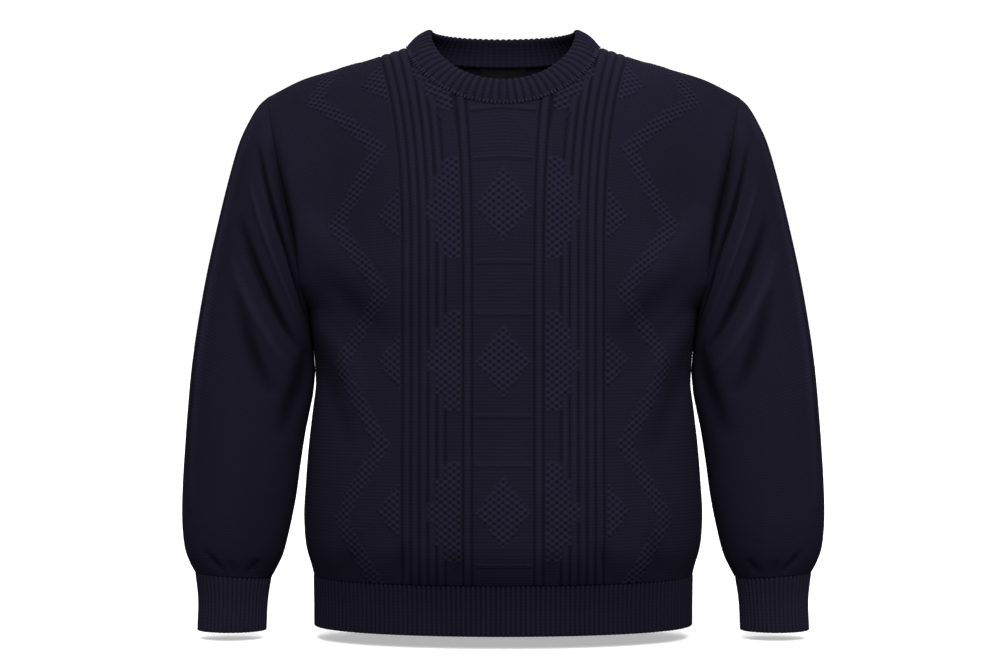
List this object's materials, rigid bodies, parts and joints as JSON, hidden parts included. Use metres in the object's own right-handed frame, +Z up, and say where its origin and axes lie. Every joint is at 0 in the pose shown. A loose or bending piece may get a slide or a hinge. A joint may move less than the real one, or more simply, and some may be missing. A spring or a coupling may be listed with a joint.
{
  "type": "patterned knit pullover",
  "caption": "Long-sleeved crew-neck pullover in thick dark knit, filled out and hollow, with a ribbed, moss-stitch and zigzag patterned front.",
  "frame": {"origin": "middle of the neck's base, at the height where the wearer's shoulders hold the garment up", "axes": "+X towards the wearer's left arm, +Y towards the back, +Z up"},
  "size_m": [0.7442, 0.243, 0.694],
  "materials": {
    "body_knit": "matt wool knit, very dark navy, raised stitches over plain stockinette",
    "sleeve_knit": "matt wool knit, very dark navy, plain stockinette",
    "rib_knit": "matt wool knit, very dark navy, fine ribs",
    "label_cloth": "smooth woven ribbon, black, bare"
  },
  "bodies": {
    "root": {"front": "body_knit", "back": "body_knit", "sleeve_left": "sleeve_knit", "sleeve_right": "sleeve_knit", "hem_rib": "rib_knit", "cuff_left": "rib_knit", "cuff_right": "rib_knit", "neckband": "rib_knit", "neck_label": "label_cloth"}
  },
  "joints": []
}
